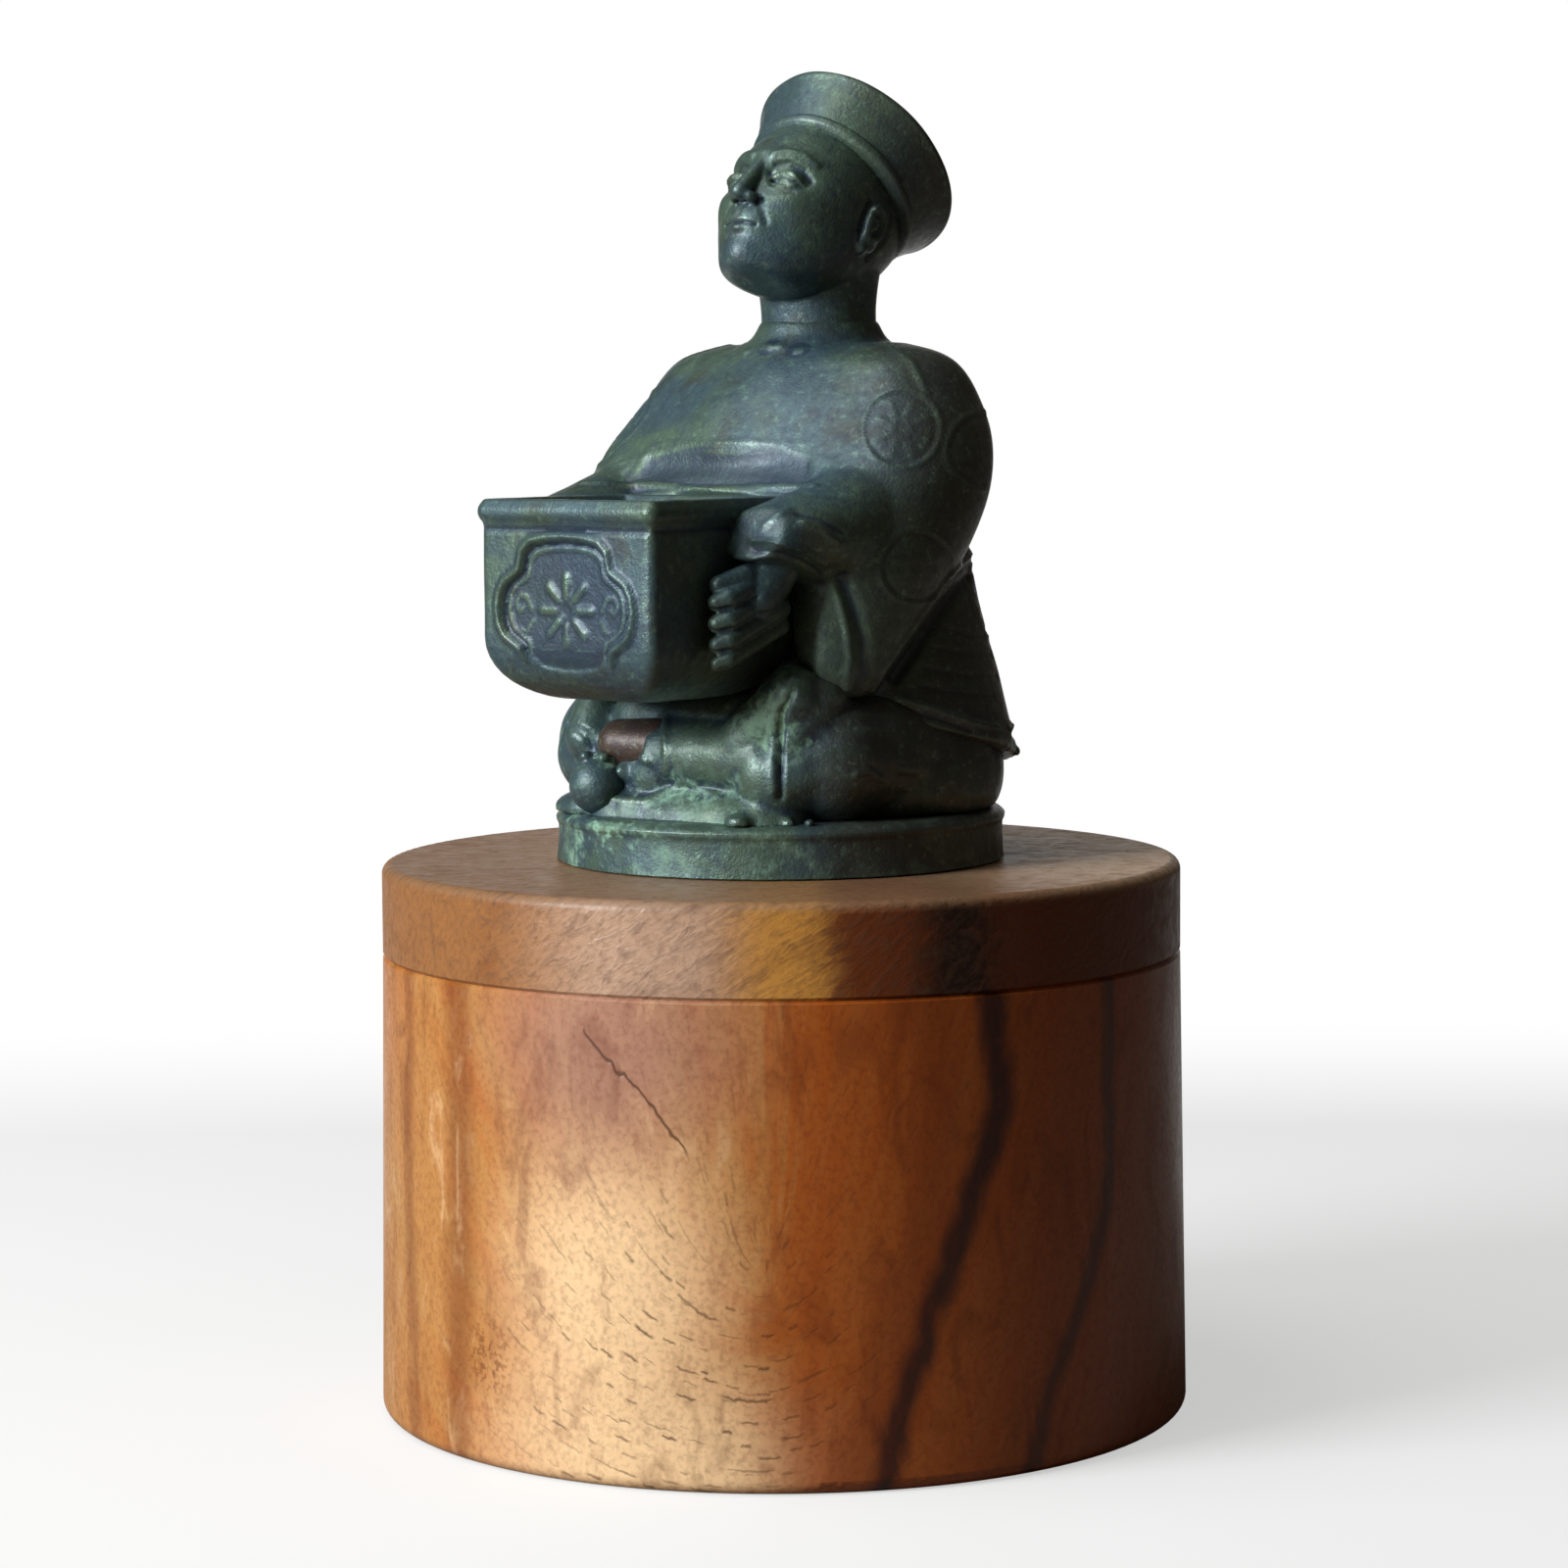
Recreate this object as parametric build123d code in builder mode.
from build123d import *
import os
from math import cos, radians, sin

# A turned wooden box whose lift-off lid carries a cast bronze figure: a man sitting
# cross-legged in a wide-sleeved jacket, who holds a square tub in front of him.
# Millimetres. The origin is the centre of the foot, +Z is up and the figure faces -Y,
# so its left side is +X.

# Turned box
box_radius = 50.0            # outside, at the seam with the lid
foot_radius = 50.8           # the wall spreads a little towards the foot
body_height = 57.6
wall = 6.0
floor_thickness = 8.0
foot_round = 1.6
foot_hollow_radius = 40.0    # the underside is dished, so it stands on a ring
foot_hollow_depth = 1.2
floor_cove = 5.0             # rounded corner where the inside wall meets the floor
seam_chamfer = 0.4

# Turned lid
lid_thickness = 11.4
lid_round = 1.3
spigot_depth = 6.0
spigot_wall = 4.5
spigot_clearance = 0.3

# Screws that hold the figure on the lid, put in from below
screw_spacing = 40.0
screw_radius = 2.0
screw_clearance = 0.3
thread_clearance = 0.05
thread_depth = 5.0
screw_head_radius = 3.6
screw_head_height = 2.4
slot_width = 0.9
slot_depth = 1.1
washer_radius = 4.6
washer_thickness = 0.8
recess_clearance = 0.5
recess_margin = 0.4          # the screw heads lie this far inside the recess

# Bronze plinth
plinth_radius = 28.2
plinth_height = 6.6
plinth_bevel = 0.8
core_radius = 13.0           # the casting is hollow, open towards the lid

# Jacket of the figure, as half width, half depth and set-back at each height above the plinth.
# Heights named as a share are that share of the shoulder height, so the jacket stretches evenly.
shoulder_height = 50.4
hem_height = 2.4
hem_half_width, hem_half_depth, hem_setback = 29.0, 22.3, 5.8
hip_share = 0.325
hip_half_width, hip_half_depth, hip_setback = 26.2, 20.4, 5.6
waist_share = 0.563
waist_half_width, waist_half_depth, waist_setback = 23.4, 17.8, 5.0
chest_share = 0.841
chest_half_width, chest_half_depth, chest_setback = 22.0, 16.6, 5.2
shoulder_half_width, shoulder_half_depth, shoulder_setback = 20.0, 14.0, 6.4
yoke_share = 1.099
yoke_half_width, yoke_half_depth, yoke_setback = 16.0, 10.4, 7.4
collar_share = 1.151
collar_radius = 8.3
collar_rise = 1.6
cloth_thickness = 3.2        # thickness of the cast wall
hem_back_height = 3.4        # the hem is cut on a slope, low at the back
hem_slope = 14.0             # degrees

# Head, neck and cap
neck_radius = 7.4
neck_taper = 6.0             # degrees that it widens towards the skull
neck_setback = 8.2
neck_socket = 5.0
neck_clearance = 0.1
head_rise = 14.8             # middle of the head above the foot of the collar
head_setback = 5.4
head_tilt = 28.0             # degrees, thrown back
ear_radius = 2.5
ear_drop, ear_setback = 4.0, 4.6
nose_radius = 1.7
nose_drop = 2.6

# Head sections along its own tilted axis, as rise, set-back, half width and half depth
head_chin = (-12.4, -4.6, 2.6, 2.4)
head_jaw = (-9.6, -2.2, 6.4, 7.6)
head_cheek = (-3.5, 0.4, 9.6, 12.2)
head_brow = (3.0, 1.8, 10.5, 13.0)
head_crown = (8.4, 2.6, 8.8, 10.8)
head_top = (12.0, 3.0, 4.6, 5.6)
cap_tilt = 53.0              # degrees, worn on the back of the head
cap_band_radius = 11.6
cap_top_radius = 14.0
cap_depth = 7.4
cap_dome = 1.2
cap_crown = 1.4              # thickness behind the crown, where the skull stops
cap_rise = 18.1              # centre of the band above the foot of the collar
cap_setback = 10.1

# Tub
tub_width = 27.8
tub_depth = 26.0
tub_height = 24.2
tub_front = 39.4             # distance of the front face ahead of the axis
tub_base_height = 14.9       # above the plinth
tub_wall = 1.8
tub_floor = 2.2
tub_corner = 1.0
tub_base_round = 6.6
rim_height = 2.6
rim_reach = 0.6
panel_half_width, panel_half_height = 10.6, 8.2
panel_waist_width, panel_waist_height = 7.6, 6.0
panel_line = 1.0
panel_relief = 0.5

# Sleeves: the bag of cloth from the shoulder down to its hanging tip, as distance from the
# middle, set-back, half width and half depth, with the shares of the shoulder height below
sleeve_top = (7.6, 7.6, 3.8, 4.2)
sleeve_shoulder = (12.0, 7.2, 7.7, 8.0)
sleeve_arm = (15.4, 6.6, 9.0, 10.0)
sleeve_upper = (17.2, 5.0, 9.6, 11.2)
sleeve_elbow = (18.4, 2.0, 9.8, 12.2)
sleeve_fold = (18.8, -1.8, 8.8, 12.0)
sleeve_lower = (19.2, -6.4, 6.8, 9.2)
sleeve_hang = (19.4, -9.6, 4.4, 6.0)
sleeve_tip = (19.4, -10.6, 2.6, 3.4)
sleeve_shares = (1.135, 1.083, 0.988, 0.889, 0.770, 0.635, 0.484, 0.365, 0.290)

# Forearm and cuff, as set-back, distance from the middle, height, half width and half height
forearm_back = (0.0, 18.6, 35.0, 6.6, 8.0)
forearm_middle = (-10.0, 18.4, 33.0, 6.4, 7.6)
forearm_wrist = (-17.0, 18.2, 31.4, 5.2, 6.4)
cuff_half_width, cuff_half_height = 5.2, 5.8
cuff_length = 5.6
cuff_offset = 18.4
cuff_forward = -21.4         # middle of the opening
cuff_height = 31.4
cuff_drop = 54.0             # degrees that the opening points down

# Hands
finger_radius = 1.3
finger_length = 8.0
finger_pitch = 2.2
finger_count = 4
hand_height = 25.8
hand_forward = -29.4         # fingertips
palm_half_length, palm_radius = 6.0, 4.8

# Crossed legs and shoes
lap_half_width, lap_half_depth, lap_setback = 26.4, 20.6, 4.0
lap_height = 13.0
lap_swell = 1.04             # the thighs are this much wider halfway up
knee_offset = 17.8
knee_forward = -11.4
knee_radius = 8.2
knee_height = 7.7
shin_radius = 4.3
shin_forward = -17.6
shin_height = 7.4
shin_end = 1.0
shin_drop = 1.2              # the right shin lies a little lower than the left
shoe_half_length, shoe_radius = 6.4, 3.4
shoe_offset = -5.0
shoe_forward = -19.2
toe_radius = 3.7
toe_offset = -9.6
toe_forward = -22.4

os.makedirs("parts", exist_ok=True)

bore_radius = box_radius - wall
lid_top = body_height + lid_thickness
plinth_top = lid_top + plinth_height
collar_height = shoulder_height * collar_share


def finish(piece, name):
    """Names a finished piece and writes it to its own file."""
    piece.part.label = name
    export_step(piece.part, f"parts/{name}.step")


def lean(angle):
    """The upward direction of something that leans back by an angle."""
    return (0, sin(radians(angle)), cos(radians(angle)))


# Box body: one turned cup, hollowed from the top and dished under the foot
with BuildPart() as box_body:
    with BuildSketch(Plane.XZ):
        with BuildLine():
            Polyline(
                (0, foot_hollow_depth),
                (foot_hollow_radius, foot_hollow_depth),
                (foot_hollow_radius + foot_hollow_depth, 0),
                (foot_radius, 0),
                (box_radius, body_height),
                (bore_radius, body_height),
                (bore_radius, floor_thickness),
                (0, floor_thickness),
                close=True,
            )
        make_face()
    revolve(axis=Axis.Z)
    foot_edge = box_body.edges().filter_by(GeomType.CIRCLE).group_by(Axis.Z)[0].sort_by(SortBy.RADIUS)[-1]
    fillet(foot_edge, foot_round)
    rim_edge = box_body.edges().filter_by(GeomType.CIRCLE).group_by(Axis.Z)[-1].sort_by(SortBy.RADIUS)
    chamfer(rim_edge, seam_chamfer)
    floor_edge = (
        box_body.edges()
        .filter_by(GeomType.CIRCLE)
        .filter_by(lambda e: abs(e.center().Z - floor_thickness) < seam_chamfer)
    )
    fillet(floor_edge, floor_cove)
finish(box_body, "box_body")

# Lid: a thick disc with a turned spigot that drops into the bore
spigot_radius = bore_radius - spigot_clearance
recess_radius = washer_radius + recess_clearance
recess_depth = screw_head_height + washer_thickness + recess_margin
with BuildPart() as lid:
    with BuildSketch(Plane.XY.offset(body_height)):
        Circle(box_radius)
    extrude(amount=lid_thickness)
    fillet(lid.edges().filter_by(GeomType.CIRCLE).sort_by(Axis.Z)[-1], lid_round)
    chamfer(lid.edges().filter_by(GeomType.CIRCLE).sort_by(Axis.Z)[0], seam_chamfer)
    with BuildSketch(Plane.XY.offset(body_height)):
        Circle(spigot_radius)
        Circle(spigot_radius - spigot_wall, mode=Mode.SUBTRACT)
    extrude(amount=-spigot_depth)
    chamfer(lid.edges().filter_by(GeomType.CIRCLE).group_by(Axis.Z)[0], seam_chamfer)
    with BuildSketch(Plane.XY.offset(body_height)):
        with GridLocations(screw_spacing, 0, 2, 1):
            Circle(recess_radius)
    extrude(amount=recess_depth, mode=Mode.SUBTRACT)
    with BuildSketch(Plane.XY.offset(body_height)):
        with GridLocations(screw_spacing, 0, 2, 1):
            Circle(screw_radius + screw_clearance)
    extrude(amount=lid_thickness, mode=Mode.SUBTRACT)
finish(lid, "lid")

# Washers and slotted screws, two of each, seated in the recesses under the lid
seat_height = body_height + recess_depth
with BuildPart() as screw_washers:
    with BuildSketch(Plane.XY.offset(seat_height)):
        with GridLocations(screw_spacing, 0, 2, 1):
            Circle(washer_radius)
            Circle(screw_radius + screw_clearance, mode=Mode.SUBTRACT)
    extrude(amount=-washer_thickness)
finish(screw_washers, "screw_washers")

head_seat = seat_height - washer_thickness
with BuildPart() as lid_screws:
    with BuildSketch(Plane.XY.offset(head_seat)):
        with GridLocations(screw_spacing, 0, 2, 1):
            Circle(screw_head_radius)
    extrude(amount=-screw_head_height)
    chamfer(
        lid_screws.edges().filter_by(GeomType.CIRCLE).group_by(Axis.Z)[0],
        screw_head_height / 4,
    )
    with BuildSketch(Plane.XY.offset(head_seat)):
        with GridLocations(screw_spacing, 0, 2, 1):
            Circle(screw_radius)
    extrude(amount=lid_top + thread_depth - head_seat)
    with BuildSketch(Plane.XY.offset(head_seat - screw_head_height)):
        with GridLocations(screw_spacing, 0, 2, 1):
            Rectangle(2 * screw_head_radius, slot_width)
    extrude(amount=slot_depth, mode=Mode.SUBTRACT)
finish(lid_screws, "lid_screws")

# Plinth: a round cast base, hollow in the middle and tapped for the screws
with BuildPart() as plinth:
    with BuildSketch(Plane.XY.offset(lid_top)):
        Circle(plinth_radius)
        Circle(core_radius, mode=Mode.SUBTRACT)
    extrude(amount=plinth_height)
    outer_rim = plinth.edges().filter_by(GeomType.CIRCLE).group_by(Axis.Z)[-1].sort_by(SortBy.RADIUS)[-1]
    fillet(outer_rim, plinth_bevel)
    with BuildSketch(Plane.XY.offset(lid_top)):
        with GridLocations(screw_spacing, 0, 2, 1):
            Circle(screw_radius + thread_clearance)
    extrude(amount=thread_depth + thread_clearance, mode=Mode.SUBTRACT)
finish(plinth, "plinth")

# Tub: square, with a rounded base, a rim band and a lobed panel on the front
tub_base = plinth_top + tub_base_height
tub_middle = -tub_front + tub_depth / 2
tub_top = tub_base + tub_height
with BuildPart() as tub_block:
    with BuildSketch(Plane.XY.offset(tub_base)):
        with Locations((0, tub_middle)):
            Rectangle(tub_width, tub_depth)
    extrude(amount=tub_height)
    fillet(tub_block.edges().filter_by(Axis.Z), tub_corner)
    fillet(tub_block.faces().sort_by(Axis.Z)[0].edges(), tub_base_round)
    with BuildSketch(Plane.XY.offset(tub_top - rim_height)):
        with Locations((0, tub_middle)):
            RectangleRounded(tub_width + 2 * rim_reach, tub_depth + 2 * rim_reach, tub_corner + rim_reach)
    extrude(amount=rim_height)

with BuildPart() as tub_hollow:
    with BuildSketch(Plane.XY.offset(tub_base + tub_floor)):
        with Locations((0, tub_middle)):
            Rectangle(tub_width - 2 * tub_wall, tub_depth - 2 * tub_wall)
    extrude(amount=tub_height)
    fillet(tub_hollow.faces().sort_by(Axis.Z)[0].edges(), tub_base_round - tub_wall)

with BuildPart() as tub:
    add(tub_block.part)
    add(tub_hollow.part, mode=Mode.SUBTRACT)
    panel_plane = Plane(
        origin=(0, -tub_front, tub_base + tub_height / 2 - rim_height / 4),
        x_dir=(1, 0, 0),
        z_dir=(0, -1, 0),
    )
    with BuildSketch(panel_plane):
        Ellipse(panel_half_width, panel_waist_height)
        Ellipse(panel_waist_width, panel_half_height)
        Ellipse(panel_half_width - panel_line, panel_waist_height - panel_line, mode=Mode.SUBTRACT)
        Ellipse(panel_waist_width - panel_line, panel_half_height - panel_line, mode=Mode.SUBTRACT)
    extrude(amount=panel_relief)
finish(tub, "tub")

# Jacket: lofted cloth, hollow inside, with the hem cut on a slope and a standing collar
jacket_levels = (
    (hem_height, hem_half_width, hem_half_depth, hem_setback),
    (shoulder_height * hip_share, hip_half_width, hip_half_depth, hip_setback),
    (shoulder_height * waist_share, waist_half_width, waist_half_depth, waist_setback),
    (shoulder_height * chest_share, chest_half_width, chest_half_depth, chest_setback),
    (shoulder_height, shoulder_half_width, shoulder_half_depth, shoulder_setback),
    (shoulder_height * yoke_share, yoke_half_width, yoke_half_depth, yoke_setback),
    (collar_height, collar_radius, collar_radius, neck_setback),
)
hem_plane = Plane(
    origin=(0, hem_setback + hem_half_depth, plinth_top + hem_back_height),
    x_dir=(1, 0, 0),
    z_dir=(0, sin(radians(hem_slope)), cos(radians(hem_slope))),
)
with BuildPart() as jacket_block:
    for height, half_width, half_depth, setback in jacket_levels:
        with BuildSketch(Plane.XY.offset(plinth_top + height)):
            with Locations((0, setback)):
                Ellipse(half_width, half_depth)
    loft()
    with BuildSketch(Plane.XY.offset(plinth_top + collar_height)):
        with Locations((0, neck_setback)):
            Circle(collar_radius)
    extrude(amount=collar_rise)
    split(bisect_by=hem_plane, keep=Keep.TOP)

with BuildPart() as jacket:
    add(jacket_block.part)
    for height, half_width, half_depth, setback in jacket_levels[:4]:
        with BuildSketch(Plane.XY.offset(plinth_top + height), mode=Mode.PRIVATE) as inner_level:
            with Locations((0, setback)):
                Ellipse(half_width - cloth_thickness, half_depth - cloth_thickness)
        add(inner_level.sketch)
    loft(mode=Mode.SUBTRACT)
    with BuildSketch(Plane.XY.offset(plinth_top + collar_height + collar_rise)):
        with Locations((0, neck_setback)):
            Circle(neck_radius + neck_clearance)
    extrude(amount=-neck_socket - collar_rise, mode=Mode.SUBTRACT)
    add(tub_block.part, mode=Mode.SUBTRACT)
finish(jacket, "jacket")

# Legs: the lap under the jacket, two knees and two crossed shins, cut flat on the plinth
lap_levels = (
    (0, lap_half_width, lap_half_depth),
    (lap_height / 2, lap_half_width * lap_swell, lap_half_depth * lap_swell),
    (lap_height, lap_half_width * lap_swell / 2, lap_half_depth * lap_swell / 2),
)
with BuildPart() as legs:
    for height, half_width, half_depth in lap_levels:
        with BuildSketch(Plane.XY.offset(plinth_top + height)):
            with Locations((0, lap_setback)):
                Ellipse(half_width, half_depth)
    loft()
    with Locations(
        (knee_offset, knee_forward, plinth_top + knee_height),
        (-knee_offset, knee_forward, plinth_top + knee_height),
    ):
        Sphere(knee_radius)
    for side, drop in ((1, 0), (-1, shin_drop)):
        shin_plane = Plane(
            origin=(side * shin_end, shin_forward, plinth_top + shin_height - drop),
            x_dir=(0, 1, 0),
            z_dir=(side, 0, 0),
        )
        with BuildSketch(shin_plane):
            Circle(shin_radius)
        extrude(amount=knee_offset - shin_end)
    split(bisect_by=Plane.XY.offset(plinth_top), keep=Keep.TOP)
    with BuildSketch(Plane.XY.offset(plinth_top)):
        Circle(core_radius)
    extrude(amount=2 * lap_height, mode=Mode.SUBTRACT)
    add(jacket.part, mode=Mode.SUBTRACT)
    add(tub_block.part, mode=Mode.SUBTRACT)
finish(legs, "legs")

# Shoes: the left one lies along the shin's end, the right one shows its round toe below
shoe_plane = Plane(
    origin=(shoe_offset, shoe_forward, plinth_top + shin_height),
    x_dir=(1, 0, 0),
    z_dir=(0, -1, 0),
)
with BuildPart() as left_shoe:
    with BuildSketch(shoe_plane):
        with BuildLine():
            EllipticalCenterArc((0, 0), shoe_half_length, shoe_radius, arc_size=180)
            Line((-shoe_half_length, 0), (shoe_half_length, 0))
        make_face()
    revolve(axis=Axis(shoe_plane.origin, (1, 0, 0)))
    add(legs.part, mode=Mode.SUBTRACT)
finish(left_shoe, "left_shoe")

with BuildPart() as right_shoe:
    with Locations((toe_offset, toe_forward, plinth_top + toe_radius)):
        Sphere(toe_radius)
    add(legs.part, mode=Mode.SUBTRACT)
    add(left_shoe.part, mode=Mode.SUBTRACT)
finish(right_shoe, "right_shoe")

# Sleeves: a bag lofted up from its tip, a forearm lofted forward out of it, and a cuff
sleeve_levels = (
    sleeve_top, sleeve_shoulder, sleeve_arm, sleeve_upper, sleeve_elbow,
    sleeve_fold, sleeve_lower, sleeve_hang, sleeve_tip,
)
with BuildPart() as left_sleeve:
    for share, (offset, setback, half_width, half_depth) in zip(sleeve_shares, sleeve_levels):
        with BuildSketch(Plane.XY.offset(plinth_top + shoulder_height * share)):
            with Locations((offset, setback)):
                Ellipse(half_width, half_depth)
    loft()
    for setback, offset, height, half_width, half_height in (forearm_back, forearm_middle, forearm_wrist):
        with BuildSketch(Plane.XZ.offset(-setback)):
            with Locations((offset, plinth_top + height)):
                Ellipse(half_width, half_height)
    loft()
    cuff_plane = Plane(
        origin=(cuff_offset, cuff_forward, plinth_top + cuff_height),
        x_dir=(1, 0, 0),
        z_dir=(0, cos(radians(cuff_drop)), sin(radians(cuff_drop))),
    )
    with BuildSketch(cuff_plane):
        Ellipse(cuff_half_width, cuff_half_height)
    extrude(amount=cuff_length)
    add(jacket_block.part, mode=Mode.SUBTRACT)
    add(tub_block.part, mode=Mode.SUBTRACT)
    add(legs.part, mode=Mode.SUBTRACT)
finish(left_sleeve, "left_sleeve")

# Hands: a palm in the mouth of the sleeve and four fingers laid along the side of the tub
palm_plane = Plane(
    origin=(
        tub_width / 2 + palm_radius / 2,
        hand_forward + finger_length,
        plinth_top + hand_height,
    ),
    x_dir=(0, 1, 0),
    z_dir=(1, 0, 0),
)
with BuildPart() as left_hand:
    with BuildSketch(palm_plane):
        with BuildLine():
            EllipticalCenterArc((0, 0), palm_half_length, palm_radius, arc_size=180)
            Line((-palm_half_length, 0), (palm_half_length, 0))
        make_face()
    revolve(axis=Axis(palm_plane.origin, (0, 1, 0)))
    for finger in range(finger_count):
        finger_rise = (finger - (finger_count - 1) / 2) * finger_pitch
        finger_plane = Plane(
            origin=(tub_width / 2 + finger_radius, hand_forward, plinth_top + hand_height + finger_rise),
            x_dir=(1, 0, 0),
            z_dir=(0, 1, 0),
        )
        with BuildSketch(finger_plane):
            Circle(finger_radius)
        extrude(amount=finger_length)
        with Locations(finger_plane):
            Sphere(finger_radius)
    add(tub_block.part, mode=Mode.SUBTRACT)
    add(left_sleeve.part, mode=Mode.SUBTRACT)
finish(left_hand, "left_hand")

# The right sleeve and hand mirror the left ones
with BuildPart() as right_sleeve:
    mirror(left_sleeve.part, about=Plane.YZ)
finish(right_sleeve, "right_sleeve")

with BuildPart() as right_hand:
    mirror(left_hand.part, about=Plane.YZ)
finish(right_hand, "right_hand")

# The cap's axis is shared by the head, which is cut flat inside the crown
cap_up = Vector(*lean(cap_tilt))
cap_middle = Vector(0, cap_setback, plinth_top + collar_height + cap_rise)

# Head: lofted along its tilted axis, with a nose, ears and a straight neck that ends in a tenon
head_up = Vector(*lean(head_tilt))
head_forward = Vector(*lean(head_tilt - 90))
head_middle = Vector(0, head_setback, plinth_top + collar_height + head_rise)
head_levels = (head_chin, head_jaw, head_cheek, head_brow, head_crown, head_top)
with BuildPart() as head:
    for rise, setback, half_width, half_depth in head_levels:
        level_plane = Plane(
            origin=head_middle + head_up * rise - head_forward * setback,
            x_dir=(1, 0, 0),
            z_dir=head_up,
        )
        with BuildSketch(level_plane):
            Ellipse(half_width, half_depth)
    loft()
    crown_plane = Plane(origin=cap_middle + cap_up * (cap_depth - cap_crown), z_dir=cap_up)
    split(bisect_by=crown_plane, keep=Keep.BOTTOM)
    with BuildSketch(Plane.XY.offset(plinth_top + collar_height - neck_socket)):
        with Locations((0, neck_setback)):
            Circle(neck_radius)
    extrude(amount=neck_socket + collar_rise)
    with BuildSketch(Plane.XY.offset(plinth_top + collar_height + collar_rise)):
        with Locations((0, neck_setback)):
            Circle(neck_radius)
    extrude(amount=head_rise - collar_rise - ear_drop, taper=-neck_taper)
    face_depth = head_cheek[3] - head_cheek[1]
    with Locations(head_middle - head_up * nose_drop + head_forward * face_depth):
        Sphere(nose_radius)
    ear_centre = head_middle - head_up * ear_drop - head_forward * ear_setback
    ear_reach = Vector(head_cheek[2] - ear_radius / 3, 0, 0)
    with Locations(ear_centre + ear_reach, ear_centre - ear_reach):
        Sphere(ear_radius)
finish(head, "head")

# Cap: a stiff round cap that widens towards its crown, hollowed to fit the head
with BuildPart() as cap:
    with BuildSketch(Plane(origin=cap_middle, x_dir=(1, 0, 0), z_dir=Vector(*lean(cap_tilt - 90)))):
        with BuildLine():
            Polyline(
                (0, cap_depth),
                (0, 0),
                (cap_band_radius, 0),
                (cap_top_radius, cap_depth - cap_dome),
                (cap_top_radius - cap_dome, cap_depth),
                close=True,
            )
        make_face()
    revolve(axis=Axis(cap_middle, cap_up))
    add(head.part, mode=Mode.SUBTRACT)
finish(cap, "cap")
